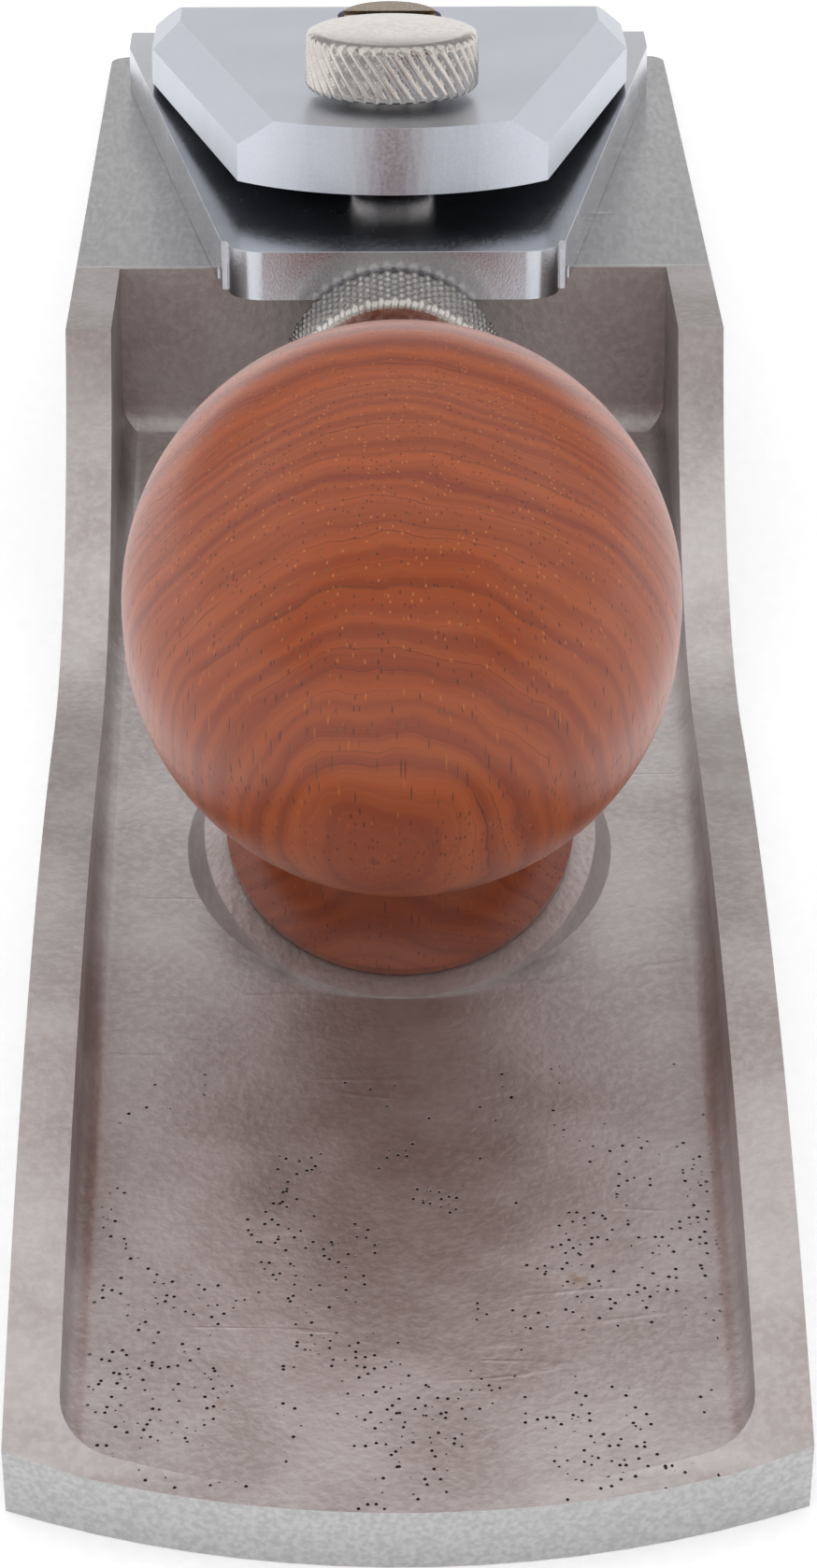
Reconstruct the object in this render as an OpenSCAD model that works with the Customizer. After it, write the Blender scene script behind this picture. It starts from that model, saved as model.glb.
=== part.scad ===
/* [Body] */
// Width of the body and of its sole
body_w = 45; // [42:0.5:50]
// Length from the heel to the cutting edge
plane_l = 165; // [155:1:180]
// Radius of the heel seen from above
heel_r = 60; // [45:1:120]
// Thickness of the tray floor behind the bed
floor_t = 3.9; // [3.2:0.1:4.1]
// Height of the narrow lip along the heel, above the tray floor
lip_h = 0.5; // [0.2:0.1:0.8]
// Width of the narrow lip along the heel
lip_w = 1.6; // [1:0.1:3]
// Width of each side rail
rail_w = 3.1; // [2.4:0.1:4]
// Height of the rails at their long crest
rail_crest_h = 9.3; // [8:0.1:11]
// Distance of the rail crest from the heel
rail_crest_y = 38; // [34:1:42]
// Radius of the long crest of the rails
rail_crest_r = 130; // [110:5:160]
// Lowest height of the rails, where they turn up to the cheeks
rail_dip_h = 5.4; // [5:0.1:6.5]
// Radius of the sweep from the rails up to the cheeks
sweep_r = 26; // [22:1:30]
// Fillet between the tray floor and the rails
floor_fillet = 1.5; // [0.8:0.1:2]
// Radius of the tray's corners at the heel
tray_corner_r = 4; // [2.5:0.5:6]
// Rounding of the two toe corners seen from above
toe_corner_r = 1.5; // [0.5:0.1:3]
// Distance of the body's toe behind the cutting edge
toe_setback = 1.8; // [1:0.1:4]

/* [Bed] */
// Angle of the bed to the sole, in degrees
bed_angle = 15; // [14:0.5:16]
// Distance along the bed from the cutting edge to the cross rib's back face
bed_l = 58.5; // [56:0.5:60]
// Height of the cutting edge above the sole at rest
edge_h = 0.1; // [0.05:0.01:0.3]
// Fillet between the cross rib and the tray floor
rib_fillet = 2; // [1:0.1:2.5]

/* [Blade] */
// Width of the blade at the cutting edge
blade_w = 41.2; // [38:0.2:42]
// Width of the blade's tail
blade_tail_w = 23.2; // [20:0.2:26]
// Length of the blade
blade_l = 65.9; // [65:0.1:67]
// Length of the parallel part behind the cutting edge
blade_parallel_l = 12; // [9:0.5:16]
// Thickness of the blade
blade_t = 3.5; // [3:0.1:4]
// Angle of the grinding bevel, in degrees
bevel_angle = 25; // [22:1:35]
// Rounding of the two tail corners
blade_tail_r = 2.5; // [1:0.1:4]
// Width of the long slot that the cap screw passes through
blade_slot_w = 7; // [6:0.1:8]
// Distance from the cutting edge to the front end of the long slot
blade_slot_front = 18; // [16:0.5:20]
// Length of the long slot
blade_slot_l = 24; // [20:0.5:25]
// Depth of the cross groove under the tail that the depth nut's flange turns in
groove_d = 1.1; // [0.9:0.1:1.3]

/* [Lever cap] */
// Width of the lever cap at its nose
cap_w = 36.6; // [34:0.2:37]
// Length of the lever cap
cap_l = 45.4; // [44:0.2:47]
// Thickness of the lever cap
cap_t = 4.8; // [4.2:0.1:5.4]
// Distance along the bed from the cutting edge to the nose's contact
cap_nose_s = 14.6; // [13:0.2:16]
// Angle of the lever cap to the blade, in degrees
cap_tilt = 2.8; // [2.2:0.1:3.2]
// Length of the parallel part behind the nose
cap_parallel_l = 9.4; // [6:0.2:12]
// Half width lost for each millimetre towards the tail
cap_taper = 0.23; // [0.2:0.01:0.25]
// Radius of the tail seen from above
cap_tail_r = 16; // [14:0.5:22]
// Depth of the slanting flank along each side
cap_flank = 2.2; // [1:0.1:3]
// Diameter of the keyhole's round opening
keyhole_d = 8; // [7.6:0.1:9]
// Width of the keyhole's slot
keyhole_slot_w = 5.2; // [5.1:0.1:5.6]
// Distance from the keyhole's opening to its slot's end, along the cap
keyhole_l = 7; // [6.5:0.1:8]

/* [Cap screw] */
// Distance along the bed from the cutting edge to the cap screw
cap_screw_s = 29; // [28.5:0.1:29.5]
// Diameter of the cap screw's shank
cap_screw_d = 4.8; // [4.2:0.1:5]
// Diameter of the cap screw's head
cap_screw_head_d = 7; // [6.4:0.1:7.4]
// Height of the cap screw's head
cap_screw_head_h = 1.5; // [1.2:0.1:2]
// Depth of the cap screw in the bed
cap_screw_depth = 6; // [4:0.1:6.4]

/* [Clamp wheel] */
// Distance from the cap's nose to the clamp wheel, along the cap
wheel_l = 35.1; // [33:0.1:37]
// Diameter of the clamp wheel
wheel_d = 12.4; // [11:0.1:14]
// Height of the clamp wheel
wheel_h = 4.2; // [3.6:0.1:5]
// Diameter of the clamp wheel's shank
wheel_shank_d = 6; // [5:0.1:7]
// Gap between the clamp wheel and the top of the cap
wheel_gap = 0.6; // [0.3:0.1:0.9]

/* [Depth adjuster] */
// Distance of the depth nut's axis below the bed
nut_drop = 5.5; // [5.3:0.1:5.6]
// Diameter of the depth nut's knurled head
nut_d = 16; // [15:0.1:16.2]
// Length of the depth nut's knurled head
nut_head_l = 7; // [5:0.1:8]
// Diameter of the depth nut's flange
nut_flange_d = 12.6; // [12.4:0.1:12.7]
// Thickness of the depth nut's flange
nut_flange_t = 1.4; // [1:0.1:1.8]
// Diameter of the neck between flange and head
nut_neck_d = 9; // [8:0.1:9.6]
// Distance along the bed from the cutting edge to the flange's front face
nut_flange_s = 61.05; // [60.9:0.05:61.3]
// Diameter of the stud that the depth nut turns on
stud_d = 6; // [5:0.1:6.4]
// Depth of the stud in the cross rib
stud_depth = 12; // [8:0.5:14]

/* [Knob] */
// Distance of the knob's seat from the heel
seat_y = 54.8; // [52:0.2:58]
// Height of the middle of the knob's seat above the sole
seat_h = 7.9; // [7.6:0.1:8.6]
// Lean of the knob towards the heel, in degrees
knob_tilt = 18.5; // [15:0.5:20]
// Diameter of the flat top of the boss
boss_d = 24.7; // [24:0.1:26]
// Diameter of the knob's ball
ball_d = 32.9; // [31:0.1:34]
// Length of the short straight part at the ball's middle
ball_band = 1.8; // [0.5:0.1:3]
// Height of the ball's middle above the seat
ball_h = 24.2; // [23.5:0.1:25]
// Diameter of the knob's foot
foot_d = 21.9; // [20.5:0.1:22]
// Diameter of the knob's neck
neck_d = 16.6; // [15:0.1:18]
// Radius of the hollow between foot and ball
cove_r = 6; // [5:0.1:7]
// Diameter of the knob's stud
knob_stud_d = 8; // [6:0.1:9]
// Length of the knob's stud inside the knob
knob_stud_l = 13; // [9:0.1:14.5]
// Depth of the knob's stud in the boss
knob_stud_depth = 5.6; // [4:0.1:6]
// Outer diameter of the threaded insert in the knob
insert_d = 11; // [10:0.1:13]
// Length of the threaded insert
insert_l = 16; // [12:0.1:18]

/* [Fits] */
// Gap between flat faces that bear on each other
face_gap = 0.03; // [0.02:0.01:0.05]
// Radial gap round shanks, studs and inserts
fit_gap = 0.04; // [0.02:0.01:0.08]
// Gap on each side of the flange in the blade's groove
groove_gap = 0.1; // [0.05:0.01:0.2]

/* [Hidden] */
$fn = 96;
arc_fn = 360;
far = 400;
past = 1;
bite = 0.5;
toe_y = plane_l - toe_setback;
heel_lip_l = 7;
sweep_z = rail_dip_h + sweep_r;
sweep_bite = 0.02;
sweep_y = rail_crest_y
    + sqrt(pow(rail_crest_r + sweep_r, 2) - pow(sweep_z - rail_crest_h + rail_crest_r, 2));
blend_y = rail_crest_y + (sweep_y - rail_crest_y) * rail_crest_r / (rail_crest_r + sweep_r);
tray_w = body_w - 2 * rail_w;
tray_heel_r = heel_r - lip_w;
boss_rim_h = 1.2;
boss_skirt_h = 14.8;
boss_skirt_d = boss_d + 11;
boss_root_z = floor_t - 2;
edge_land = 0.05;
nut_head_gap = 0.5;
nut_head_s = blade_l + nut_head_gap;
nut_end_s = nut_head_s + nut_head_l;
nut_chamfer = 0.6;
wheel_chamfer = 0.5;
tip_chamfer = 0.6;
stud_chamfer = 0.6;
stud_end_s = nut_end_s - 0.8;
screw_slot_w = 1.2;
screw_slot_d = 0.8;
cap_taper_angle = atan(cap_taper);

// Height of the bed above the sole at distance y from the heel
function bed_z(y) = edge_h - face_gap + (plane_l - y) * tan(bed_angle);

// Height of the cap's top above the bed at distance s along the bed
function cap_top(s) = blade_t + face_gap + cap_t / cos(cap_tilt) + (s - cap_nose_s) * tan(cap_tilt);

// The part's own frame: origin on the sole, midway between heel and cutting edge
module in_frame() {
    translate([0, -plane_l / 2, 0]) children();
}

// The frame of the bed: y runs down to the cutting edge, z stands square to the bed
module on_bed() {
    translate([0, plane_l, edge_h]) rotate([-bed_angle, 0, 0]) children();
}

// The frame of the lever cap: origin at the nose's contact, z square to the cap
module on_cap() {
    on_bed() translate([0, -cap_nose_s, blade_t + face_gap]) rotate([-cap_tilt, 0, 0]) children();
}

// The frame of the depth nut at distance s along the bed: z runs back towards the heel
module on_stud(s) {
    on_bed() translate([0, -s, -nut_drop]) rotate([90, 0, 0]) children();
}

// The frame of the knob: origin in the middle of its seat, z along its leaning axis
module on_seat() {
    translate([0, seat_y, seat_h]) rotate([knob_tilt, 0, 0]) children();
}

// A side outline, drawn as height over length, as wide as w
module across(w) {
    translate([-w / 2, 0, 0]) rotate([90, 0, 90]) linear_extrude(height = w) children();
}

module body_plan() {
    corner_y = toe_y - toe_corner_r;
    corner_x = body_w / 2 - toe_corner_r;
    intersection() {
        union() {
            translate([-body_w / 2, 0]) square([body_w, corner_y]);
            translate([-corner_x, 0]) square([2 * corner_x, toe_y]);
            for (side = [-1, 1]) translate([side * corner_x, corner_y]) circle(toe_corner_r);
        }
        union() {
            translate([0, heel_r]) circle(heel_r);
            translate([-body_w / 2, heel_r]) square([body_w, plane_l]);
        }
    }
}

module body_side() {
    end_y = toe_y + past;
    difference() {
        union() {
            square([heel_lip_l, floor_t + lip_h]);
            intersection() {
                translate([rail_crest_y, rail_crest_h - rail_crest_r]) circle(rail_crest_r, $fn = arc_fn);
                square([blend_y + past, rail_crest_h + past]);
            }
            polygon([[blend_y, 0], [end_y, 0], [end_y, bed_z(end_y)], [blend_y, bed_z(blend_y)]]);
        }
        translate([sweep_y, sweep_z - sweep_bite]) circle(sweep_r, $fn = arc_fn);
    }
}

// The tray's outline, rounded where the rails run out at the heel
module tray_plan() {
    corner_x = tray_w / 2 - tray_corner_r;
    corner_y = heel_r - sqrt(pow(tray_heel_r - tray_corner_r, 2) - pow(corner_x, 2));
    meet_x = corner_x * tray_heel_r / (tray_heel_r - tray_corner_r);
    intersection() {
        union() {
            translate([0, heel_r]) circle(tray_heel_r);
            translate([-tray_w / 2, heel_r]) square([tray_w, plane_l]);
        }
        union() {
            translate([-tray_w / 2, corner_y]) square([tray_w, plane_l]);
            translate([-meet_x, 0]) square([2 * meet_x, plane_l]);
            for (side = [-1, 1]) translate([side * corner_x, corner_y]) circle(tray_corner_r);
        }
    }
}

// The tray's cross section: open upwards, with a fillet along each rail
module tray_section() {
    inner_w = tray_w - 2 * floor_fillet;
    translate([-tray_w / 2, floor_t + floor_fillet]) square([tray_w, far]);
    translate([-inner_w / 2, floor_t]) square([inner_w, far]);
    for (side = [-1, 1]) {
        translate([side * inner_w / 2, floor_t + floor_fillet]) circle(floor_fillet);
    }
}

// The fillet at the foot of the cross rib, which leans as the bed's normal does
module rib_foot() {
    foot_y = plane_l - bed_l * cos(bed_angle)
        - (edge_h + bed_l * sin(bed_angle) - floor_t) * tan(bed_angle);
    run = rib_fillet * tan((90 - bed_angle) / 2);
    difference() {
        polygon([
            [foot_y + bite, floor_t - bite],
            [foot_y - run, floor_t - bite],
            [foot_y - run, floor_t],
            [foot_y + run * sin(bed_angle), floor_t + run * cos(bed_angle)],
            [foot_y + bite + run * sin(bed_angle), floor_t + run * cos(bed_angle)]
        ]);
        translate([foot_y - run, floor_t + rib_fillet]) circle(rib_fillet);
    }
}

module tray() {
    intersection() {
        linear_extrude(height = far) tray_plan();
        translate([0, far, 0]) rotate([90, 0, 0]) linear_extrude(height = 2 * far) tray_section();
        on_bed() translate([-far / 2, -bed_l - far, -far / 2]) cube([far, far, far]);
    }
}

module boss() {
    intersection() {
        on_seat() {
            translate([0, 0, -boss_rim_h]) cylinder(d = boss_d, h = boss_rim_h);
            translate([0, 0, -boss_rim_h - boss_skirt_h])
                cylinder(d1 = boss_skirt_d, d2 = boss_d, h = boss_skirt_h);
        }
        translate([-body_w / 2, 0, boss_root_z]) cube([body_w, plane_l, far]);
    }
}

module body() {
    color("silver") in_frame() difference() {
        union() {
            difference() {
                intersection() {
                    linear_extrude(height = far) body_plan();
                    across(body_w) body_side();
                }
                tray();
            }
            across(tray_w) rib_foot();
            boss();
        }
        on_seat() translate([0, 0, -knob_stud_depth - face_gap])
            cylinder(r = knob_stud_d / 2 + fit_gap, h = far);
        on_bed() translate([0, -cap_screw_s, -cap_screw_depth - face_gap])
            cylinder(r = cap_screw_d / 2 + fit_gap, h = far);
        on_stud(bed_l - stud_depth - face_gap)
            cylinder(r = stud_d / 2 + fit_gap, h = stud_depth + rib_fillet);
    }
}

module blade_plan() {
    tail_x = blade_tail_w / 2;
    edge_x = blade_w / 2;
    difference() {
        polygon([
            [edge_x, 0], [edge_x, -blade_parallel_l], [tail_x, -blade_l],
            [-tail_x, -blade_l], [-edge_x, -blade_parallel_l], [-edge_x, 0]
        ]);
        for (side = [-1, 1]) translate([side * (tail_x - blade_tail_r), blade_tail_r - blade_l])
            difference() {
                translate([side > 0 ? 0 : -2 * blade_tail_r, -2 * blade_tail_r])
                    square(2 * blade_tail_r);
                circle(blade_tail_r);
            }
    }
}

module blade_slot() {
    front = -blade_slot_front - blade_slot_w / 2;
    back = -blade_slot_front - blade_slot_l + blade_slot_w / 2;
    translate([-blade_slot_w / 2, back]) square([blade_slot_w, front - back]);
    for (end = [front, back]) translate([0, end]) circle(d = blade_slot_w);
}

module blade() {
    groove_front = nut_flange_s - groove_gap;
    groove_w = nut_flange_t + 2 * groove_gap;
    color("lightsteelblue") in_frame() on_bed() difference() {
        linear_extrude(height = blade_t) difference() {
            blade_plan();
            blade_slot();
        }
        translate([0, 0, edge_land]) rotate([-bevel_angle, 0, 0])
            translate([-far / 2, -far / 2, 0]) cube([far, far, far / 4]);
        translate([-far / 2, -groove_front - groove_w, -past]) cube([far, groove_w, groove_d + past]);
    }
}

module cap_plan() {
    wide = cap_w / 2;
    tail = wide - cap_taper * (cap_l - cap_parallel_l);
    intersection() {
        polygon([
            [wide, 0], [wide, -cap_parallel_l], [tail, -cap_l],
            [-tail, -cap_l], [-wide, -cap_parallel_l], [-wide, 0]
        ]);
        union() {
            translate([0, cap_tail_r - cap_l]) circle(cap_tail_r);
            translate([-wide, cap_tail_r - cap_l]) square([2 * wide, cap_l]);
        }
    }
}

module cap_side() {
    translate([-cap_l, 0]) square([cap_l - cap_t, cap_t]);
    intersection() {
        translate([-cap_t, 0]) circle(cap_t);
        translate([-cap_t, 0]) square(cap_t);
    }
}

// What the slanting flanks take off: one cut along each straight stretch of a side
module cap_flanks() {
    for (side = [-1, 1]) {
        translate([side * (cap_w / 2 - cap_flank), -far / 2, cap_t])
            rotate([0, side * 45, 0]) translate([-far / 2, 0, 0]) cube([far, far, far / 8]);
        translate([side * (cap_w / 2 - cap_flank), -cap_parallel_l, cap_t])
            rotate([0, 0, -side * cap_taper_angle]) rotate([0, side * 45, 0])
                translate([-far / 2, -far / 2, 0]) cube([far, far, far / 8]);
    }
}

module keyhole() {
    mouth = (cap_screw_s - cap_nose_s) * cos(cap_tilt)
        + (cap_top(cap_screw_s) - blade_t) * sin(cap_tilt) - keyhole_l;
    translate([0, -mouth]) circle(d = keyhole_d);
    translate([0, -mouth - keyhole_l]) circle(d = keyhole_slot_w);
    translate([-keyhole_slot_w / 2, -mouth - keyhole_l]) square([keyhole_slot_w, keyhole_l]);
}

module lever_cap() {
    color("lightgrey") in_frame() on_cap() difference() {
        intersection() {
            linear_extrude(height = cap_t) cap_plan();
            across(cap_w) cap_side();
        }
        cap_flanks();
        translate([0, 0, -past]) linear_extrude(height = cap_t + 2 * past) keyhole();
        translate([0, -wheel_l, -past]) cylinder(r = wheel_shank_d / 2 + fit_gap, h = cap_t + 2 * past);
    }
}

module lever_cap_screw() {
    head_under = cap_top(cap_screw_s + cap_screw_head_d / 2) + face_gap;
    color("tan") in_frame() on_bed() translate([0, -cap_screw_s, 0]) difference() {
        union() {
            translate([0, 0, -cap_screw_depth]) cylinder(d = cap_screw_d, h = cap_screw_depth + head_under);
            translate([0, 0, head_under]) cylinder(d = cap_screw_head_d, h = cap_screw_head_h);
        }
        translate([-cap_screw_head_d, -screw_slot_w / 2, head_under + cap_screw_head_h - screw_slot_d])
            cube([2 * cap_screw_head_d, screw_slot_w, screw_slot_d + past]);
    }
}

// Half of the clamp wheel's section, from the tip that bears on the blade up to its flat top
module wheel_section() {
    tip = face_gap - (wheel_l - wheel_shank_d / 2) * tan(cap_tilt);
    under = cap_t + wheel_gap;
    top = under + wheel_h;
    polygon([
        [0, tip],
        [wheel_shank_d / 2 - tip_chamfer, tip],
        [wheel_shank_d / 2, tip + tip_chamfer],
        [wheel_shank_d / 2, under],
        [wheel_d / 2 - wheel_chamfer, under],
        [wheel_d / 2, under + wheel_chamfer],
        [wheel_d / 2, top - wheel_chamfer],
        [wheel_d / 2 - wheel_chamfer, top],
        [0, top]
    ]);
}

module clamp_wheel() {
    color("gainsboro") in_frame() on_cap() translate([0, -wheel_l, 0]) rotate_extrude() wheel_section();
}

// Half of the depth nut's section: flange, neck and knurled head round the stud's bore
module nut_section() {
    bore = stud_d / 2 + fit_gap;
    head = nut_head_s - nut_flange_s;
    end = head + nut_head_l;
    polygon([
        [bore, 0],
        [nut_flange_d / 2, 0],
        [nut_flange_d / 2, nut_flange_t],
        [nut_neck_d / 2, nut_flange_t],
        [nut_neck_d / 2, head],
        [nut_d / 2 - nut_chamfer, head],
        [nut_d / 2, head + nut_chamfer],
        [nut_d / 2, end - nut_chamfer],
        [nut_d / 2 - nut_chamfer, end],
        [bore, end]
    ]);
}

module depth_nut() {
    color("gainsboro") in_frame() on_stud(nut_flange_s) rotate_extrude() nut_section();
}

module depth_stud() {
    end = stud_end_s - bed_l + stud_depth;
    color("silver") in_frame() on_stud(bed_l - stud_depth) rotate_extrude() polygon([
        [0, 0],
        [stud_d / 2, 0],
        [stud_d / 2, end - stud_chamfer],
        [stud_d / 2 - stud_chamfer, end],
        [0, end]
    ]);
}

// Half of the knob's section, from the seat up
module knob_section() {
    ball_r = ball_d / 2;
    low_h = ball_h - ball_band / 2;
    cove_x = neck_d / 2 + cove_r;
    cove_h = low_h - sqrt(pow(ball_r + cove_r, 2) - pow(cove_x, 2));
    touch_h = cove_h + (low_h - cove_h) * cove_r / (ball_r + cove_r);
    intersection() {
        union() {
            translate([0, low_h]) circle(ball_r);
            translate([0, low_h + ball_band]) circle(ball_r);
            translate([0, low_h]) square([ball_r, ball_band]);
            difference() {
                translate([0, face_gap]) square([foot_d / 2, touch_h - face_gap]);
                translate([cove_x, cove_h]) circle(cove_r);
            }
        }
        square([ball_d, 2 * ball_h]);
    }
}

module knob() {
    color("sienna") in_frame() on_seat() difference() {
        rotate_extrude() knob_section();
        translate([0, 0, -past]) cylinder(r = insert_d / 2 + fit_gap, h = insert_l + past + 2 * face_gap);
    }
}

module knob_insert() {
    color("goldenrod") in_frame() on_seat() difference() {
        translate([0, 0, face_gap]) cylinder(d = insert_d, h = insert_l);
        translate([0, 0, -past]) cylinder(r = knob_stud_d / 2 + fit_gap, h = insert_l + 3 * past);
    }
}

module knob_stud() {
    color("silver") in_frame() on_seat() translate([0, 0, -knob_stud_depth])
        cylinder(d = knob_stud_d, h = knob_stud_depth + knob_stud_l);
}

body();
blade();
lever_cap();
lever_cap_screw();
clamp_wheel();
depth_nut();
depth_stud();
knob();
knob_insert();
knob_stud();
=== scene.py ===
"""Looks of the chisel plane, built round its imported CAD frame."""

import logging
import math
from dataclasses import dataclass, field
from enum import Enum
from typing import Any

import bmesh
import bpy
from mathutils import Matrix, Vector


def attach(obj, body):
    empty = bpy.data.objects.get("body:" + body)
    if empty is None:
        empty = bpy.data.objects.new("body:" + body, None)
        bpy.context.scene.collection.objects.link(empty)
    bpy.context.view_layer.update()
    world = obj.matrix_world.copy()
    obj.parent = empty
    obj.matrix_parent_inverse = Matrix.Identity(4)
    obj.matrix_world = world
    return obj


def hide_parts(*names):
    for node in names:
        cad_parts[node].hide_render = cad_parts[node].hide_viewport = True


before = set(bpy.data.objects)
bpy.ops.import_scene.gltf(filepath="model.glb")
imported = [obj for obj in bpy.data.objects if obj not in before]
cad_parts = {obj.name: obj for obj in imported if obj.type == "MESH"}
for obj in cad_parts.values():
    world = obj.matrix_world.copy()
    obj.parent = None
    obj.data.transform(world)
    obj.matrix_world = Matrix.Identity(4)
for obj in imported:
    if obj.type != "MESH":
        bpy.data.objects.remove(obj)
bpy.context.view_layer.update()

LOG = logging.getLogger("chisel_plane")
MM = 0.001
PLANE_LENGTH = 165.0
PHOTO_HEIGHT = 1678
MERGE_MM = 0.002
FLAT_DEGREES = 0.6
WHEEL_STEPS = 320
NUT_STEPS = 384
KNOB_STEPS = 192
PAPER_HALF_M = 1.5

Socket = bpy.types.NodeSocket
Tree = bpy.types.NodeTree


class Grind(Enum):
    """How a steel surface was left by its last operation."""

    LAPPED = "lapped"
    SATIN = "satin"
    PLATED = "plated"


def to_linear(code: str) -> tuple[float, float, float, float]:
    """Turns an sRGB hex colour to linear.

    Args:
        code: Six hex digits, with or without a hash.

    Returns:
        The linear red, green, blue and an alpha of one.
    """
    code = code.lstrip("#")
    parts = [int(code[i : i + 2], 16) / 255 for i in (0, 2, 4)]
    r, g, b = [p / 12.92 if p <= 0.04045 else ((p + 0.055) / 1.055) ** 2.4 for p in parts]
    return (r, g, b, 1.0)


def add_node(
    tree: Tree,
    kind: str,
    settings: dict[str, Any] | None = None,
    links: dict[Any, Any] | None = None,
) -> bpy.types.Node:
    """Adds a node with its settings and links.

    Args:
        tree: The node tree.
        kind: Blender's name for the node's type.
        settings: Attributes of the node to set.
        links: Input names or numbers, each with a socket to link or a value to set.

    Returns:
        The new node.
    """
    node = tree.nodes.new(kind)
    for name, value in (settings or {}).items():
        setattr(node, name, value)
    for name, value in (links or {}).items():
        if isinstance(value, Socket):
            tree.links.new(value, node.inputs[name])
        else:
            node.inputs[name].default_value = value
    return node


def mixed(tree: Tree, factor: Any, first: Any, second: Any) -> Socket:
    """Mixes two colours.

    Args:
        tree: The node tree.
        factor: Share of the second colour, a number or a socket.
        first: A linear colour or a socket.
        second: A linear colour or a socket.

    Returns:
        The mixed colour's socket.
    """
    node = add_node(tree, "ShaderNodeMix", {"data_type": "RGBA"}, {0: factor, 6: first, 7: second})
    return node.outputs[2]


def ramped(
    tree: Tree,
    value: Socket,
    low: float,
    high: float,
    out_low: float = 0.0,
    out_high: float = 1.0,
) -> Socket:
    """Maps a value from one range to another, smoothly and clamped.

    Args:
        tree: The node tree.
        value: The value's socket.
        low: Start of the range that is read.
        high: End of the range that is read.
        out_low: What the start becomes.
        out_high: What the end becomes.

    Returns:
        The mapped value's socket.
    """
    links = {0: value, 1: low, 2: high, 3: out_low, 4: out_high}
    return add_node(
        tree, "ShaderNodeMapRange", {"interpolation_type": "SMOOTHSTEP"}, links
    ).outputs[0]


def combined(tree: Tree, operation: str, first: Any, second: Any) -> Socket:
    """Joins two numbers with one arithmetic operation.

    Args:
        tree: The node tree.
        operation: Name of the Math node's operation.
        first: A number or a socket.
        second: A number or a socket.

    Returns:
        The result's socket.
    """
    return add_node(
        tree, "ShaderNodeMath", {"operation": operation}, {0: first, 1: second}
    ).outputs[0]


def placed_coords(
    tree: Tree,
    scale: tuple[float, float, float],
    turn: tuple[float, float, float] = (0, 0, 0),
    shift: tuple[float, float, float] = (0, 0, 0),
) -> Socket:
    """Object coordinates, moved, turned and scaled for one pattern.

    Args:
        tree: The node tree.
        scale: Scale along each axis.
        turn: Rotation in radians.
        shift: Move in metres, before the turn.

    Returns:
        The coordinates' socket.
    """
    coords = add_node(tree, "ShaderNodeTexCoord").outputs["Object"]
    moved = add_node(
        tree, "ShaderNodeVectorMath", {"operation": "SUBTRACT"}, {0: coords, 1: shift}
    ).outputs[0]
    turned = add_node(
        tree, "ShaderNodeMapping", {"vector_type": "POINT"}, {0: moved, 2: turn, 3: scale}
    )
    return turned.outputs[0]


def noise(
    tree: Tree,
    coords: Socket,
    size_mm: float,
    detail: float = 2.0,
    rough: float = 0.5,
) -> Socket:
    """A noise whose lumps are about as large as given.

    Args:
        tree: The node tree.
        coords: Coordinates in metres.
        size_mm: Size of one lump in millimetres.
        detail: Octaves.
        rough: Strength of the finer octaves.

    Returns:
        The noise's value, about 0.3 to 0.7.
    """
    links = {"Vector": coords, "Scale": 1000.0 / size_mm, "Detail": detail, "Roughness": rough}
    return add_node(tree, "ShaderNodeTexNoise", {}, links).outputs[0]


def bumped(tree: Tree, height: Socket, strength: float, depth_mm: float) -> Socket:
    """A bump from a height.

    Args:
        tree: The node tree.
        height: Height socket.
        strength: Strength of the bump.
        depth_mm: Depth of one unit of height in millimetres.

    Returns:
        The normal's socket.
    """
    links = {"Strength": strength, "Distance": depth_mm * MM, "Height": height}
    return add_node(tree, "ShaderNodeBump", {}, links).outputs[0]


def new_material(name: str) -> tuple[bpy.types.Material, Tree, bpy.types.Node]:
    """Makes an empty material.

    Args:
        name: The material's name.

    Returns:
        The material, its tree and its Principled node.
    """
    material = bpy.data.materials.new(name)
    material.use_nodes = True
    tree = material.node_tree
    tree.nodes.clear()
    shader = add_node(tree, "ShaderNodeBsdfPrincipled")
    add_node(tree, "ShaderNodeOutputMaterial", {}, {"Surface": shader.outputs[0]})
    return material, tree, shader


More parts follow.
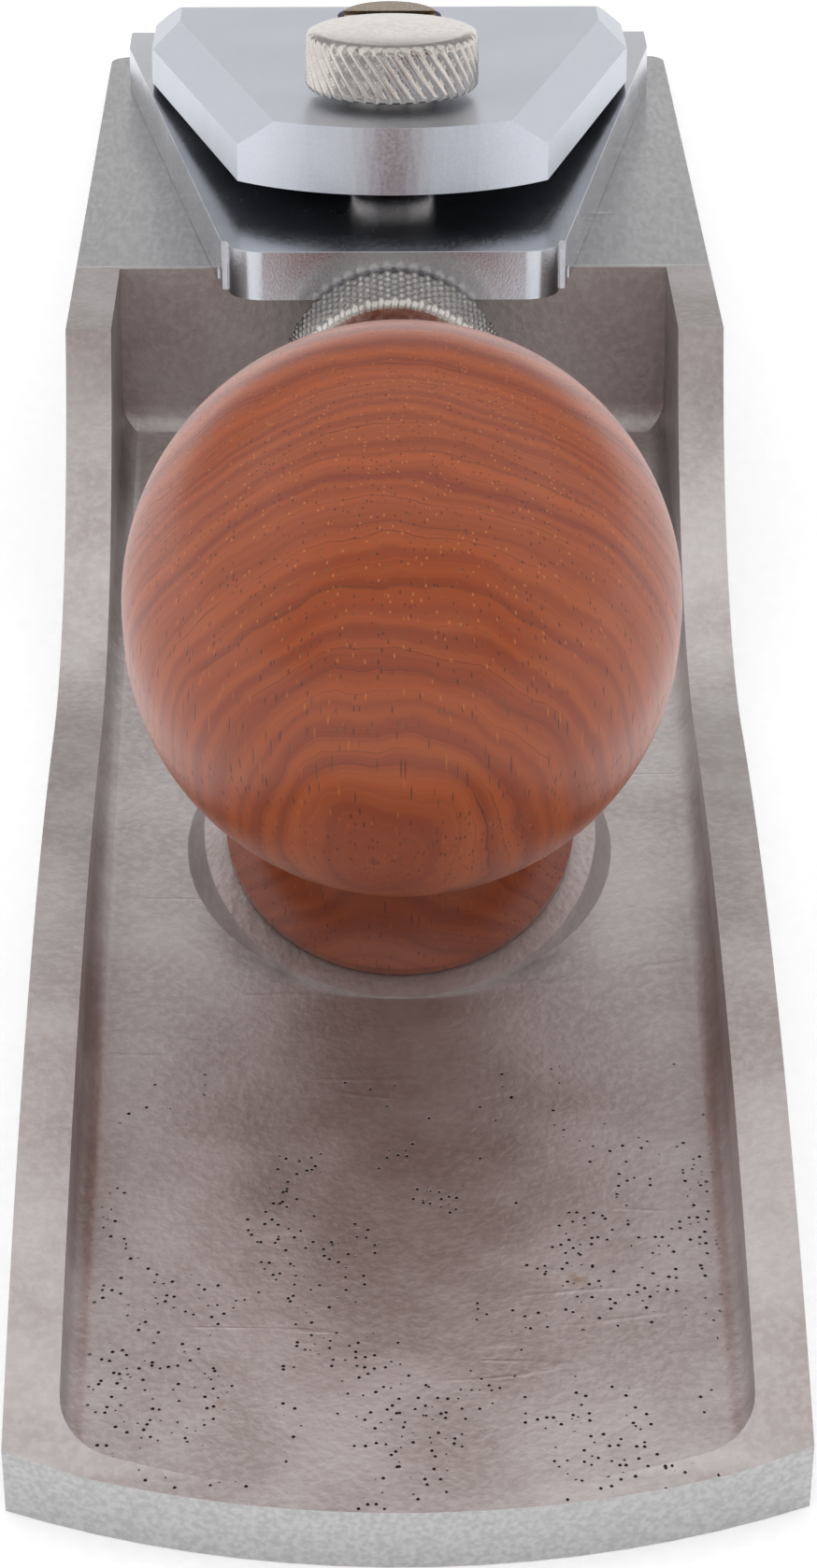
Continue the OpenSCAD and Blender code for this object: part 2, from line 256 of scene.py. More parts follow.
@dataclass(frozen=True)
class BodyCastingFinish:
    """Investment-cast stainless iron: pebbled inside, ground on sides, heel and shoulders."""

    cast: str = "#cbc5c3"
    shade: str = "#b4aba8"
    ground: str = "#bdbcbc"
    # Near-black painted shade inside the pits
    stain: str = "#a07a4c"
    pit_shade: str = "#2c2624"
    rib_back: float = 26.0

    def material(self) -> bpy.types.Material:
        """Builds the casting's material."""
        made, tree, shader = new_material("cast_and_ground_iron")
        coords = placed_coords(tree, (1, 1, 1))
        axes = add_node(tree, "ShaderNodeSeparateXYZ", {}, {0: coords}).outputs
        normal = add_node(tree, "ShaderNodeNewGeometry").outputs["True Normal"]
        facing = add_node(tree, "ShaderNodeSeparateXYZ", {}, {0: normal}).outputs
        width = combined(tree, "ABSOLUTE", axes[0], 0.0)
        # The ground faces: both outer sides, the heel's end and everything in front of the cross rib
        side = ramped(tree, width, 22.15 * MM, 22.4 * MM)
        square_side = ramped(tree, combined(tree, "ABSOLUTE", facing[0], 0.0), 0.80, 0.95)
        side = combined(tree, "MULTIPLY", side, square_side)
        heel = combined(
            tree,
            "MULTIPLY",
            ramped(tree, facing[1], -0.55, -0.85),
            ramped(tree, axes[1], -76 * MM, -77 * MM),
        )
        front = ramped(tree, axes[1], (self.rib_back + 0.2) * MM, (self.rib_back + 0.6) * MM)
        tops = ramped(tree, facing[2], 0.80, 0.93)
        bed = combined(tree, "MULTIPLY", front, tops)
        ground = combined(tree, "MAXIMUM", combined(tree, "MAXIMUM", side, heel), bed)
        # The shell's pebble is 0.5 mm wide, its slow waves 4 mm
        pebble = noise(tree, coords, 0.55, 2.0, 0.55)
        waves = noise(tree, coords, 4.0, 2.0, 0.5)
        mottle = noise(tree, coords, 11.0, 3.0, 0.6)
        # Pits of 0.25 mm gather in patches near the heel; each is a real dent, painted near-black as
        # the shade inside it
        cells = add_node(
            tree,
            "ShaderNodeTexVoronoi",
            {},
            {"Vector": coords, "Scale": 1000.0 / 0.5, "Randomness": 1.0},
        )
        dot = ramped(tree, cells.outputs["Distance"], 0.26, 0.16)
        chosen = add_node(
            tree, "ShaderNodeSeparateColor", {}, {0: cells.outputs["Color"]}
        ).outputs[0]
        patch = ramped(
            tree,
            noise(
                tree,
                placed_coords(tree, (1, 0.75, 1), (0, 0, 0), (0.0031, 0.0012, 0)),
                8.5,
                2.0,
                0.6,
            ),
            0.47,
            0.60,
        )
        rear = ramped(tree, axes[1], -44 * MM, -58 * MM)
        odds = combined(
            tree,
            "LESS_THAN",
            chosen,
            combined(tree, "MULTIPLY", combined(tree, "MULTIPLY", patch, rear), 0.9),
        )
        inner = ramped(tree, width, 18.6 * MM, 17.6 * MM)
        pits = combined(tree, "MULTIPLY", combined(tree, "MULTIPLY", dot, odds), inner)
        pits = combined(tree, "MULTIPLY", pits, ramped(tree, facing[2], 0.7, 0.9))
        # Shallow ripples of the mould run across the floor, 14 mm apart, broken along their length
        ripple_at = placed_coords(tree, (0.14, 1, 0), (0, 0, 0.03))
        ripple = add_node(
            tree,
            "ShaderNodeTexNoise",
            {},
            {"Vector": ripple_at, "Scale": 95.0, "Detail": 3.0, "Distortion": 0.35},
        ).outputs[0]
        ripple = combined(tree, "ABSOLUTE", combined(tree, "SUBTRACT", ripple, 0.5), 0.0)
        ripple = ramped(tree, ripple, 0.012, 0.0)
        breaks = ramped(tree, noise(tree, coords, 7.0, 2.0), 0.5, 0.62)
        ripple = combined(tree, "MULTIPLY", combined(tree, "MULTIPLY", ripple, breaks), inner)
        colour = mixed(
            tree, ramped(tree, mottle, 0.35, 0.68), to_linear(self.shade), to_linear(self.cast)
        )
        colour = mixed(
            tree, ramped(tree, pebble, 0.40, 0.66, 0.0, 0.25), colour, to_linear("#dcd6d4")
        )
        rust = ramped(
            tree,
            noise(
                tree, placed_coords(tree, (1, 1, 1), (0, 0, 0), (0.013, 0.021, 0)), 6.0, 4.0, 0.7
            ),
            0.66,
            0.76,
            0.0,
            0.5,
        )
        colour = mixed(tree, rust, colour, to_linear(self.stain))
        scuffs = noise(tree, placed_coords(tree, (1, 0.05, 1)), 0.35, 2.0)
        smooth = mixed(
            tree, ramped(tree, scuffs, 0.3, 0.7), to_linear("#acabab"), to_linear(self.ground)
        )
        colour = mixed(tree, ground, colour, smooth)
        # Painted shade inside the pits
        colour = mixed(tree, pits, colour, to_linear(self.pit_shade))
        tree.links.new(colour, shader.inputs["Base Color"])
        rough = mixed(tree, ground, (0.50, 0.50, 0.50, 1), (0.27, 0.27, 0.27, 1))
        level = combined(
            tree,
            "ADD",
            add_node(tree, "ShaderNodeSeparateColor", {}, {0: rough}).outputs[0],
            ramped(tree, mottle, 0.35, 0.7, -0.02, 0.03),
        )
        tree.links.new(level, shader.inputs["Roughness"])
        shader.inputs["Metallic"].default_value = 1.0
        rest = combined(tree, "SUBTRACT", 1.0, ground)
        height = combined(
            tree,
            "ADD",
            combined(tree, "MULTIPLY", pebble, 0.55),
            combined(tree, "MULTIPLY", waves, 0.25),
        )
        height = combined(
            tree,
            "ADD",
            combined(tree, "MULTIPLY", height, rest),
            combined(tree, "MULTIPLY", ripple, 0.25),
        )
        height = combined(tree, "SUBTRACT", height, combined(tree, "MULTIPLY", pits, 0.8))
        height = combined(
            tree,
            "ADD",
            height,
            combined(tree, "MULTIPLY", combined(tree, "MULTIPLY", scuffs, ground), 0.03),
        )
        tree.links.new(bumped(tree, height, 0.6, 0.12), shader.inputs["Normal"])
        return made


@dataclass(frozen=True)
class SteelFinish:
    """Steel that was lapped, blasted to a satin or nickel plated."""

    name: str
    grind: Grind
    colour: str
    second: str
    rough: float

    def material(self) -> bpy.types.Material:
        """Builds the steel's material: fine lines along its grind, with a slow change of tone."""
        made, tree, shader = new_material(self.name)
        # Grinding lines are 0.12 mm apart, blasting grains 0.2 mm, plating has only its polish's haze
        stretch = {
            Grind.LAPPED: (1, 0.04, 1), Grind.SATIN: (1, 1, 1), Grind.PLATED: (1, 1, 1)
        }[self.grind]
        size = {Grind.LAPPED: 0.16, Grind.SATIN: 0.22, Grind.PLATED: 0.5}[self.grind]
        lines = noise(tree, placed_coords(tree, stretch), size, 3.0, 0.6)
        slow = noise(tree, placed_coords(tree, (1, 1, 1)), 9.0, 2.0, 0.5)
        colour = mixed(
            tree, ramped(tree, slow, 0.3, 0.7), to_linear(self.second), to_linear(self.colour)
        )
        colour = mixed(
            tree, ramped(tree, lines, 0.35, 0.7, 0.0, 0.25), colour, to_linear("#e6e7ea")
        )
        tree.links.new(colour, shader.inputs["Base Color"])
        shader.inputs["Metallic"].default_value = 1.0
        level = combined(
            tree,
            "ADD",
            ramped(tree, lines, 0.3, 0.7, -0.03, 0.05),
            combined(tree, "ADD", ramped(tree, slow, 0.3, 0.7, -0.03, 0.03), self.rough),
        )
        tree.links.new(level, shader.inputs["Roughness"])
        tree.links.new(bumped(tree, lines, 0.25, 0.02), shader.inputs["Normal"])
        return made


@dataclass(frozen=True)
class KnobWoodFinish:
    """Turned reddish tropical wood, oiled and waxed to a soft shine."""

    light: str = "#a94e1b"
    middle: str = "#8b3710"
    dark: str = "#451405"
    fleck: str = "#cf7f3c"
    tilt: float = math.radians(18.5)
    seat: tuple[float, float, float] = (0.0, -0.0277, 0.0079)

    def material(self) -> bpy.types.Material:
        """Builds the wood: growth layers that stand across the knob, pores along its axis."""
        made, tree, shader = new_material("oiled_reddish_hardwood")
        turn = (-self.tilt, 0.0, 0.0)
        coords = placed_coords(tree, (1, 1, 1), turn, self.seat)
        axes = add_node(tree, "ShaderNodeSeparateXYZ", {}, {0: coords}).outputs
        # A growth layer wanders by 2 mm over 14 mm, and by 0.3 mm over 3 mm
        sway = noise(tree, placed_coords(tree, (1, 1, 0.45), turn, self.seat), 15.0, 2.0, 0.5)
        shiver = noise(tree, placed_coords(tree, (0.6, 1, 0.3), turn, self.seat), 2.6, 3.0, 0.55)
        # The pith lies 48 mm behind the heel side, so the layers arch a little
        pith = add_node(
            tree,
            "ShaderNodeVectorMath",
            {"operation": "LENGTH"},
            {
                0: add_node(
                    tree,
                    "ShaderNodeCombineXYZ",
                    {},
                    {0: axes[0], 1: combined(tree, "ADD", axes[1], 48 * MM), 2: 0.0},
                ).outputs[0],
            },
        ).outputs["Value"]
        lean = combined(tree, "MULTIPLY", axes[2], 0.10)
        depth = combined(tree, "ADD", pith, lean)
        depth = combined(tree, "ADD", depth, combined(tree, "MULTIPLY", sway, 5.0 * MM))
        depth = combined(tree, "ADD", depth, combined(tree, "MULTIPLY", shiver, 1.3 * MM))
        broad_at = add_node(tree, "ShaderNodeCombineXYZ", {}, {0: depth, 1: 0.0, 2: 0.0}).outputs[0]
        broad = add_node(
            tree,
            "ShaderNodeTexNoise",
            {},
            {"Vector": broad_at, "Scale": 900.0, "Detail": 2.0, "Roughness": 0.6},
        ).outputs[0]
        fine = add_node(
            tree,
            "ShaderNodeTexNoise",
            {},
            {"Vector": broad_at, "Scale": 3600.0, "Detail": 3.0, "Roughness": 0.7},
        ).outputs[0]
        colour = mixed(
            tree, ramped(tree, broad, 0.36, 0.62), to_linear(self.middle), to_linear(self.light)
        )
        streak = ramped(tree, fine, 0.53, 0.68)
        patchy = ramped(
            tree,
            noise(tree, placed_coords(tree, (0.5, 1, 0.6), turn, self.seat), 6.0, 2.0, 0.6),
            0.38,
            0.66,
            0.25,
            0.95,
        )
        colour = mixed(
            tree, combined(tree, "MULTIPLY", streak, patchy), colour, to_linear(self.dark)
        )
        colour = mixed(
            tree, ramped(tree, fine, 0.45, 0.33, 0.0, 0.45), colour, to_linear("#b35a26")
        )
        # Vessels are 0.2 mm wide and run 2.5 mm along the axis: dots on the crown, dashes on the flanks
        vessels_at = placed_coords(tree, (1, 1, 0.085), turn, self.seat)
        vessel = add_node(
            tree,
            "ShaderNodeTexVoronoi",
            {},
            {"Vector": vessels_at, "Scale": 1000.0 / 0.26, "Randomness": 1.0},
        )
        pore = ramped(tree, vessel.outputs["Distance"], 0.30, 0.17)
        pick = add_node(tree, "ShaderNodeSeparateColor", {}, {0: vessel.outputs["Color"]}).outputs
        dark_pore = combined(tree, "MULTIPLY", pore, combined(tree, "LESS_THAN", pick[0], 0.5))
        pale_fleck = combined(tree, "MULTIPLY", pore, combined(tree, "LESS_THAN", pick[1], 0.4))
        # End grain of the crown shows more pale flecks than the flanks
        crown = ramped(tree, axes[2], 30 * MM, 40 * MM, 0.30, 0.62)
        colour = mixed(
            tree, combined(tree, "MULTIPLY", pale_fleck, crown), colour, to_linear(self.fleck)
        )
        colour = mixed(
            tree, combined(tree, "MULTIPLY", dark_pore, 0.6), colour, to_linear("#3a130a")
        )
        # Painted shade: the wood is darkened towards the foot, beneath the ball
        foot = ramped(tree, axes[2], 11 * MM, 7 * MM, 0.0, 0.45)
        colour = mixed(tree, foot, colour, to_linear("#5a2411"))
        tree.links.new(colour, shader.inputs["Base Color"])
        gloss = combined(
            tree,
            "ADD",
            ramped(tree, fine, 0.3, 0.7, 0.30, 0.36),
            combined(tree, "MULTIPLY", pore, 0.08),
        )
        tree.links.new(gloss, shader.inputs["Roughness"])
        shader.inputs["IOR"].default_value = 1.5
        shader.inputs["Coat Weight"].default_value = 0.12
        shader.inputs["Coat Roughness"].default_value = 0.28
        height = combined(
            tree,
            "SUBTRACT",
            combined(tree, "MULTIPLY", fine, 0.35),
            combined(tree, "MULTIPLY", dark_pore, 0.8),
        )
        tree.links.new(bumped(tree, height, 0.35, 0.05), shader.inputs["Normal"])
        return made


def link_piece(
    name: str,
    shape: bmesh.types.BMesh,
    material: bpy.types.Material,
    crease: float = 35.0,
) -> bpy.types.Object:
    """Makes a mesh object of a finished bmesh.

    Args:
        name: The piece's name.
        shape: The bmesh, which is freed.
        material: What it is dressed with.
        crease: Angle in degrees above which an edge stays sharp.

    Returns:
        The new object, at the origin.
    """
    mesh = bpy.data.meshes.new(name)
    shape.to_mesh(mesh)
    shape.free()
    mesh.polygons.foreach_set("use_smooth", [True] * len(mesh.polygons))
    mesh.set_sharp_from_angle(angle=math.radians(crease))
    mesh.materials.append(material)
    piece = bpy.data.objects.new(name, mesh)
    bpy.context.scene.collection.objects.link(piece)
    return piece


def copy_of_node(node: str) -> bmesh.types.BMesh:
    """Copies a CAD node's mesh, merged and with its flat faces made whole.

    Args:
        node: Name of the CAD node.

    Returns:
        The copy as a bmesh.
    """
    shape = bmesh.new()
    shape.from_mesh(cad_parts[node].data)
    bmesh.ops.remove_doubles(shape, verts=shape.verts, dist=MERGE_MM * MM)
    bmesh.ops.dissolve_limit(
        shape,
        angle_limit=math.radians(FLAT_DEGREES),
        verts=shape.verts,
        edges=shape.edges,
        delimit={"NORMAL"},
    )
    return shape


def soften(
    piece: bpy.types.Object,
    width_mm: float,
    angle: float = 28.0,
    segments: int = 3,
) -> None:
    """Rounds a piece's edges with a live Bevel.

    Args:
        piece: The piece.
        width_mm: Width of the rounding in millimetres.
        angle: Edges sharper than this many degrees are rounded.
        segments: Faces across each rounding.
    """
    bevel = piece.modifiers.new("edges", "BEVEL")
    bevel.width = width_mm * MM
    bevel.segments = segments
    bevel.limit_method = "ANGLE"
    bevel.angle_limit = math.radians(angle)
    bevel.use_clamp_overlap = True
    # Wide flat faces keep their own normal, so no fillet shades across them
    weighted = piece.modifiers.new("flat_faces", "WEIGHTED_NORMAL")
    weighted.mode = "FACE_AREA"
    weighted.weight = 100
    weighted.keep_sharp = True


def turned(profile: list[tuple[float, float]], steps: int) -> bmesh.types.BMesh:
    """Turns a section round the z axis.

    Args:
        profile: Points of radius and height in millimetres, from the bottom up.
        steps: Number of faces round.

    Returns:
        The turned shape.
    """
    shape = bmesh.new()
    verts = [shape.verts.new((r * MM, 0, z * MM)) for r, z in profile]
    edges = [shape.edges.new(pair) for pair in zip(verts, verts[1:])]
    bmesh.ops.spin(
        shape,
        geom=verts + edges,
        cent=(0, 0, 0),
        axis=(0, 0, 1),
        dvec=(0, 0, 0),
        angle=math.tau,
        steps=steps,
        use_merge=True,
        use_duplicate=False,
    )
    bmesh.ops.remove_doubles(shape, verts=shape.verts, dist=0.001 * MM)
    bmesh.ops.recalc_face_normals(shape, faces=shape.faces)
    return shape


@dataclass
class PlaneBody:
    """The casting, its bed, rails and boss, with every arris eased."""

    finish: BodyCastingFinish = field(default_factory=BodyCastingFinish)
    arris: float = 0.45

    def build(self) -> list[bpy.types.Object]:
        """Builds the casting.

        Returns:
            The pieces made.
        """
        piece = link_piece("body_casting", copy_of_node("body"), self.finish.material(), 40.0)
        soften(piece, self.arris, 24.0, 3)
        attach(piece, "plane_body")
        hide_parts("body")
        return [piece]


@dataclass
class BladeAndCap:
    """The spade-shaped blade and the lever cap that holds it down."""

    blade_finish: SteelFinish = SteelFinish(
        "lapped_tool_steel", Grind.LAPPED, "#c9cbd1", "#b3b5bb", 0.20
    )
    cap_finish: SteelFinish = SteelFinish(
        "blasted_satin_steel", Grind.SATIN, "#c9cdd6", "#bcc1ca", 0.36
    )
    screw_finish: SteelFinish = SteelFinish(
        "turned_bronze", Grind.LAPPED, "#b59a72", "#8e7654", 0.33
    )

    def build(self) -> list[bpy.types.Object]:
        """Builds blade and cap, and dresses the cap screw.

        Returns:
            The pieces made.
        """
        blade = link_piece("blade_steel", copy_of_node("blade"), self.blade_finish.material())
        soften(blade, 0.25, 40.0, 2)
        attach(blade, "blade")
        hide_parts("blade")
        cap = link_piece("lever_cap_plate", copy_of_node("lever_cap"), self.cap_finish.material())
        soften(cap, 0.45, 25.0, 3)
        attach(cap, "lever_cap")
        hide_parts("lever_cap")
        dress("lever_cap_screw", self.screw_finish.material())
        return [blade, cap]


def dress(node: str, material: bpy.types.Material) -> None:
    """Gives a CAD node another material.

    Args:
        node: Name of the CAD node.
        material: What it is dressed with.
    """
    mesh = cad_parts[node].data
    if mesh.materials:
        mesh.materials[0] = material
    else:
        mesh.materials.append(material)


@dataclass
class KnurledWheels:
    """The clamp wheel and the depth nut, both with a cut knurl."""

    finish: SteelFinish = SteelFinish(
        "nickel_plated_steel", Grind.PLATED, "#cbc5bd", "#b5aea6", 0.24
    )
    stud_finish: SteelFinish = SteelFinish(
        "plain_threaded_rod", Grind.LAPPED, "#a5a3a0", "#8d8a86", 0.34
    )
    bed_angle: float = 15.0
    cap_tilt: float = 2.8
    edge_height: float = 0.1
    nose_at: float = 14.6
    blade_thickness: float = 3.53
    wheel_at: float = 35.1
    cap_thickness: float = 4.8
    nut_drop: float = 5.5
    nut_flange_at: float = 61.05

    def bed_frame(self) -> Matrix:
        """The bed's frame in metres, as in the part's source."""
        return Matrix.Translation(
            (0, PLANE_LENGTH / 2 * MM, self.edge_height * MM)
        ) @ Matrix.Rotation(-math.radians(self.bed_angle), 4, "X")

    def cap_frame(self) -> Matrix:
        """The lever cap's frame in metres, as in the part's source."""
        lift = Matrix.Translation((0, -self.nose_at * MM, self.blade_thickness * MM))
        return self.bed_frame() @ lift @ Matrix.Rotation(-math.radians(self.cap_tilt), 4, "X")

    def knurl(
        self,
        shape: bmesh.types.BMesh,
        radius: float,
        low: float,
        high: float,
        ridges: int,
        lead: float,
        crossed: bool,
    ) -> None:
        """Cuts slanting grooves into a turned rim.

        Args:
            shape: The turned shape, about the z axis.
            radius: Radius of the rim in millimetres.
            low: Lower end of the knurl in millimetres.
            high: Upper end of the knurl in millimetres.
            ridges: Number of ridges round the rim.
            lead: Slant, as a turn in radians for each millimetre of height.
            crossed: Whether a second set of grooves runs the other way.
        """
        depth = 0.30 if not crossed else 0.26
        for vert in shape.verts:
            across = math.hypot(vert.co.x, vert.co.y) / MM
            height = vert.co.z / MM
            if abs(across - radius) > 0.02 or not low <= height <= high:
                continue
            turn = math.atan2(vert.co.y, vert.co.x)
            first = abs(math.sin(0.5 * ridges * (turn + lead * height)))
            second = abs(math.sin(0.5 * ridges * (turn - lead * height))) if crossed else 1.0
            cut = depth * (1 - min(first, second)) ** 1.3
            scale = (radius - cut) / across
            vert.co.x *= scale
            vert.co.y *= scale

    def rim(self, half: float, low: float, high: float, rows: int) -> list[tuple[float, float]]:
        """Points up a rim, close enough to carry the knurl.

        Args:
            half: Radius in millimetres.
            low: Lower end in millimetres.
            high: Upper end in millimetres.
            rows: Rows of faces.

        Returns:
            Points of radius and height.
        """
        return [(half, low + (high - low) * i / rows) for i in range(rows + 1)]

    def build(self) -> list[bpy.types.Object]:
        """Builds the two wheels and dresses the stud.

        Returns:
            The pieces made.
        """
        metal = self.finish.material()
        under = self.cap_thickness + 0.6
        tip = 0.03 - (self.wheel_at - 3.0) * math.tan(math.radians(self.cap_tilt))
        top = under + 4.2
        section = [
            (0, tip),
            (2.4, tip),
            (3.0, tip + 0.6),
            (3.0, under - 0.01),
            (3.05, under),
            (5.55, under),
            (6.0, under + 0.12),
        ]
        section += self.rim(6.2, under + 0.4, top - 0.55, 16)
        section += [(6.05, top - 0.22), (5.75, top - 0.06), (5.3, top), (1.5, top + 0.0), (0, top)]
        wheel = turned(section, WHEEL_STEPS)
        self.knurl(wheel, 6.2, under + 0.38, top - 0.5, 40, 0.115, False)
        bmesh.ops.transform(
            wheel,
            matrix=self.cap_frame() @ Matrix.Translation((0, -self.wheel_at * MM, 0)),
            verts=wheel.verts,
        )
        wheel_piece = link_piece("clamp_wheel_knurled", wheel, metal, 50.0)
        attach(wheel_piece, "clamp_wheel")
        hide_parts("clamp_wheel")
        head = 66.4 - self.nut_flange_at
        end = head + 7.0
        section = [
            (3.04, 0),
            (6.2, 0),
            (6.3, 0.1),
            (6.3, 1.3),
            (6.2, 1.4),
            (4.6, 1.4),
            (4.5, 1.5),
            (4.5, head - 0.1),
            (4.6, head),
            (7.3, head),
            (7.7, head + 0.15),
        ]
        section += self.rim(8.0, head + 0.55, end - 0.55, 26)
        section += [
            (7.7, end - 0.15),
            (7.3, end),
            (5.0, end),
            (4.7, end - 0.25),
            (3.5, end - 0.25),
            (3.04, end - 0.5),
            (3.04, 0),
        ]
        nut = turned(section, NUT_STEPS)
        self.knurl(nut, 8.0, head + 0.5, end - 0.5, 52, 0.10, True)
        place = self.bed_frame() @ Matrix.Translation(
            (0, -self.nut_flange_at * MM, -self.nut_drop * MM)
        ) @ Matrix.Rotation(math.radians(90), 4, "X")
        bmesh.ops.transform(nut, matrix=place, verts=nut.verts)
        nut_piece = link_piece("depth_nut_knurled", nut, metal, 50.0)
        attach(nut_piece, "depth_nut")
        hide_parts("depth_nut")
        dress("depth_stud", self.stud_finish.material())
        dress("knob_stud", self.stud_finish.material())
        return [wheel_piece, nut_piece]


@dataclass
class BallKnob:
    """The turned knob on its leaning seat."""

    finish: KnobWoodFinish = field(default_factory=KnobWoodFinish)
    insert_finish: SteelFinish = SteelFinish(
        "turned_brass", Grind.LAPPED, "#d2ac62", "#b8924c", 0.26
    )
    ball: float = 16.45
    band: float = 1.8
    middle: float = 24.2
    foot: float = 10.95
    neck: float = 8.3
    cove: float = 6.0
    bore: float = 5.54

    def section(self) -> list[tuple[float, float]]:
        """The knob's section, from the insert's hole round the outside to the crown.

        Returns:
            Points of radius and height in millimetres.
        """
        low = self.middle - self.band / 2
        side = self.neck + self.cove
        level = low - math.sqrt((self.ball + self.cove) ** 2 - side**2)
        meet = math.atan2(low - level, side)
        points = [
            (0.0, 16.09),
            (self.bore, 16.06),
            (self.bore, 0.03),
            (self.foot - 0.35, 0.03),
            (self.foot - 0.1, 0.13),
            (self.foot, 0.38),
        ]
        start = math.acos((side - self.foot) / self.cove)
        for i in range(33):
            turn = math.pi + start - (start + math.pi - (math.pi - meet)) * i / 32
            points.append((side + self.cove * math.cos(turn), level + self.cove * math.sin(turn)))
        points = [p for p in points if p[1] >= 0]
        first = -meet
        for i in range(1, 49):
            turn = first - first * i / 48
            points.append((self.ball * math.cos(turn), low + self.ball * math.sin(turn)))
        for i in range(0, 73):
            turn = math.pi / 2 * i / 72
            points.append(
                (
                    self.ball * math.cos(turn) if i < 72 else 0.0,
                    low + self.band + self.ball * math.sin(turn),
                ),
            )
        return points

    def build(self) -> list[bpy.types.Object]:
        """Builds the knob and dresses its insert.

        Returns:
            The pieces made.
        """
        shape = turned(self.section(), KNOB_STEPS)
        place = Matrix.Translation(self.finish.seat) @ Matrix.Rotation(self.finish.tilt, 4, "X")
        bmesh.ops.transform(shape, matrix=place, verts=shape.verts)
        piece = link_piece("knob_turned_wood", shape, self.finish.material(), 50.0)
        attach(piece, "plane_body")
        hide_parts("knob")
        dress("knob_insert", self.insert_finish.material())
        return [piece]


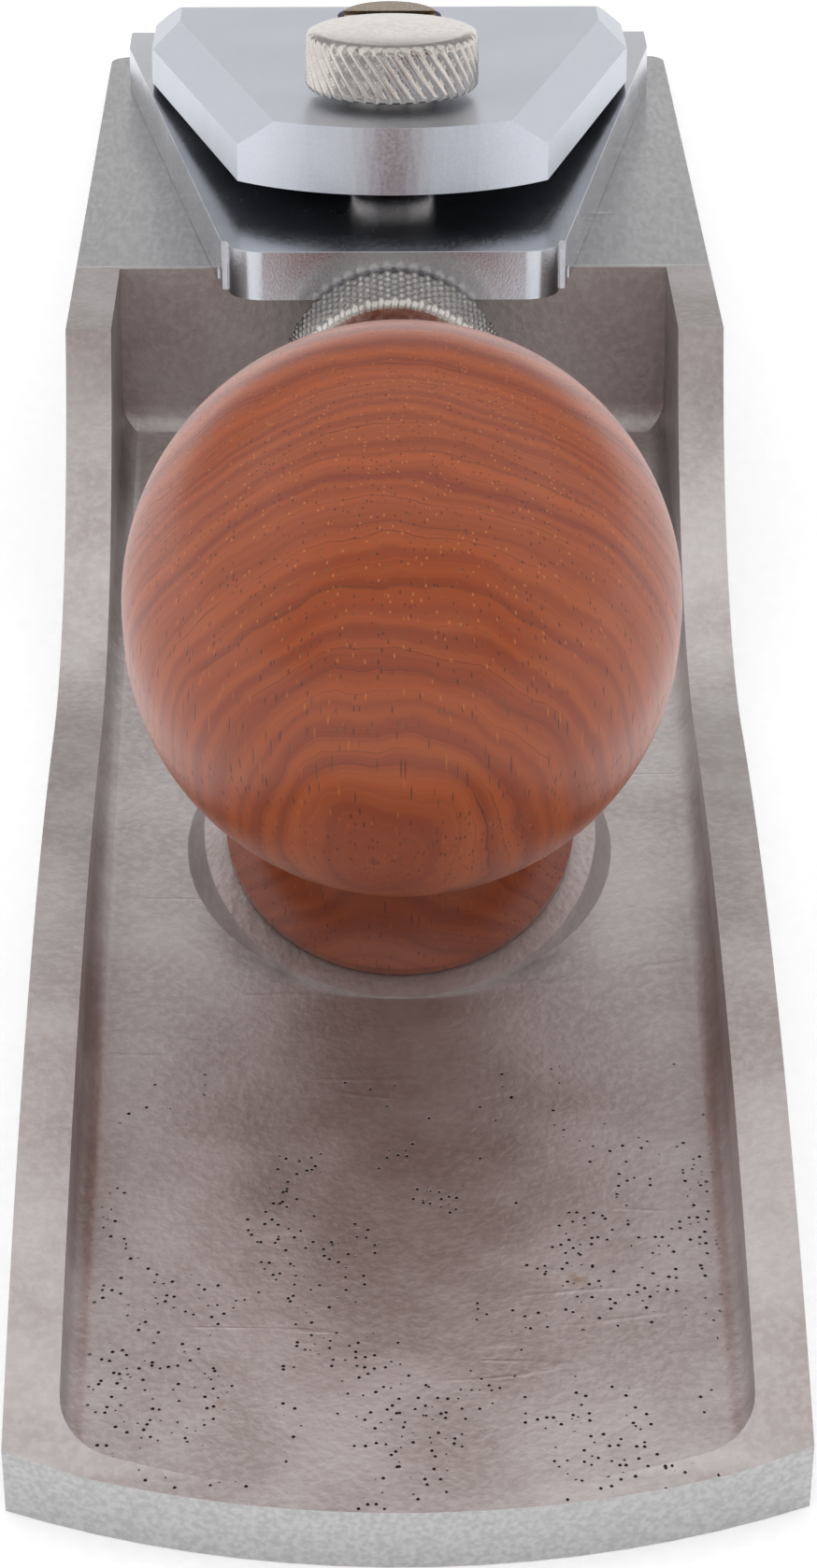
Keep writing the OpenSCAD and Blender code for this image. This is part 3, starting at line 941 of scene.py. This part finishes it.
@dataclass
class Studio:
    """Pale floor, soft lamps and the photograph's camera."""

    focal_px: float = 5097.5
    eye: tuple[float, float, float] = (-0.002462, -0.26028, 0.198975)
    yaw: float = math.radians(0.737)
    pitch: float = math.radians(38.878)
    roll: float = math.radians(0.213)
    sensor: float = 36.0

    def camera(self) -> None:
        """Sets the camera where the photograph was taken from."""
        ahead = Vector(
            (
                math.sin(self.yaw) * math.cos(self.pitch),
                math.cos(self.yaw) * math.cos(self.pitch),
                -math.sin(self.pitch),
            ),
        )
        right = Vector((math.cos(self.yaw), -math.sin(self.yaw), 0))
        up = right.cross(ahead)
        across = right * math.cos(self.roll) + up * math.sin(self.roll)
        upward = up * math.cos(self.roll) - right * math.sin(self.roll)
        lens = bpy.data.cameras.new("photo_camera")
        lens.sensor_fit = "VERTICAL"
        lens.sensor_height = self.sensor
        lens.lens = self.sensor * self.focal_px / PHOTO_HEIGHT
        lens.clip_start = 0.01
        camera = bpy.data.objects.new("photo_camera", lens)
        turn = Matrix((across, upward, -ahead)).transposed().to_4x4()
        camera.matrix_world = Matrix.Translation(self.eye) @ turn
        bpy.context.scene.collection.objects.link(camera)
        bpy.context.scene.camera = camera

    def lamp(
        self,
        name: str,
        place: tuple[float, float, float],
        aim: tuple[float, float, float],
        size: tuple[float, float],
        watts: float,
    ) -> None:
        """Adds a rectangular soft lamp.

        Args:
            name: The lamp's name.
            place: Where it stands, in metres.
            aim: The point that it faces.
            size: Its width and height in metres.
            watts: Its power.
        """
        light = bpy.data.lights.new(name, "AREA")
        light.shape = "RECTANGLE"
        light.size, light.size_y = size
        light.energy = watts
        lamp = bpy.data.objects.new(name, light)
        lamp.location = place
        lamp.rotation_euler = (Vector(aim) - Vector(place)).to_track_quat("-Z", "Y").to_euler()
        bpy.context.scene.collection.objects.link(lamp)

    def white_paper(self) -> bpy.types.Material:
        """Matt white paper with a painted glow, so the camera sees it white but for the object's
        shadow.
        """
        made, tree, shader = new_material("paper_with_painted_glow")
        fibre = noise(tree, placed_coords(tree, (1, 1, 1)), 0.8, 2.0)
        colour = mixed(
            tree, ramped(tree, fibre, 0.3, 0.7), to_linear("#f4f4f5"), to_linear("#fafafa")
        )
        tree.links.new(colour, shader.inputs["Base Color"])
        shader.inputs["Roughness"].default_value = 0.9
        path = add_node(tree, "ShaderNodeLightPath").outputs
        seen = combined(tree, "MAXIMUM", path["Is Camera Ray"], path["Is Glossy Ray"])
        # Painted glow for camera and glossy rays: weak round the object, where the lamps' shadow stays,
        # and full far off, where the paper runs out into the white backdrop
        away = add_node(
            tree,
            "ShaderNodeVectorMath",
            {"operation": "LENGTH"},
            {0: placed_coords(tree, (1, 1, 0))},
        ).outputs["Value"]
        level = ramped(tree, away, 0.20, 0.45, 0.32, 1.0)
        painted_glow = add_node(
            tree,
            "ShaderNodeEmission",
            {},
            {"Color": (1, 1, 1, 1), "Strength": combined(tree, "MULTIPLY", seen, level)},
        )
        both = add_node(tree, "ShaderNodeAddShader", {}, {0: shader.outputs[0], 1: painted_glow.outputs[0]})
        out = [n for n in tree.nodes if n.type == "OUTPUT_MATERIAL"][0]
        tree.links.new(both.outputs[0], out.inputs["Surface"])
        return made

    def build(self) -> None:
        """Builds the stage, the lamps and the camera."""
        floor = bmesh.new()
        bmesh.ops.create_grid(floor, x_segments=2, y_segments=2, size=PAPER_HALF_M)
        bmesh.ops.translate(floor, verts=floor.verts, vec=(0, 0, -0.00005))
        link_piece("paper_floor", floor, self.white_paper())
        world = bpy.data.worlds.new("soft_tent")
        bpy.context.scene.world = world
        world.use_nodes = True
        tree = world.node_tree
        tree.nodes.clear()
        path = add_node(tree, "ShaderNodeLightPath").outputs
        shade = mixed(tree, path["Is Camera Ray"], (0.43, 0.43, 0.44, 1), (1, 1, 1, 1))
        back = add_node(tree, "ShaderNodeBackground", {}, {"Color": shade, "Strength": 1.0})
        add_node(tree, "ShaderNodeOutputWorld", {}, {"Surface": back.outputs[0]})
        self.lamp("overhead", (0.0, 0.12, 0.75), (0.0, 0.0, 0.0), (1.70, 1.30), 4.2)
        self.lamp("left_wall", (-0.65, -0.05, 0.30), (0.0, 0.0, 0.02), (0.9, 0.6), 1.2)
        self.lamp("right_wall", (0.65, -0.05, 0.30), (0.0, 0.0, 0.02), (0.9, 0.6), 1.05)
        self.lamp("front_fill", (0.0, -0.75, 0.28), (0.0, -0.05, 0.0), (0.9, 0.4), 0.55)
        self.camera()
        view = bpy.context.scene.view_settings
        view.view_transform = "Standard"


def main() -> None:
    """Builds the stage and every piece in order."""
    logging.basicConfig(level=logging.INFO, format="%(name)s: %(message)s")
    Studio().build()
    for assembly in (PlaneBody(), BladeAndCap(), KnurledWheels(), BallKnob()):
        for piece in assembly.build():
            LOG.info("built %s: %d faces", piece.name, len(piece.data.polygons))


if __name__ == "__main__":
    main()
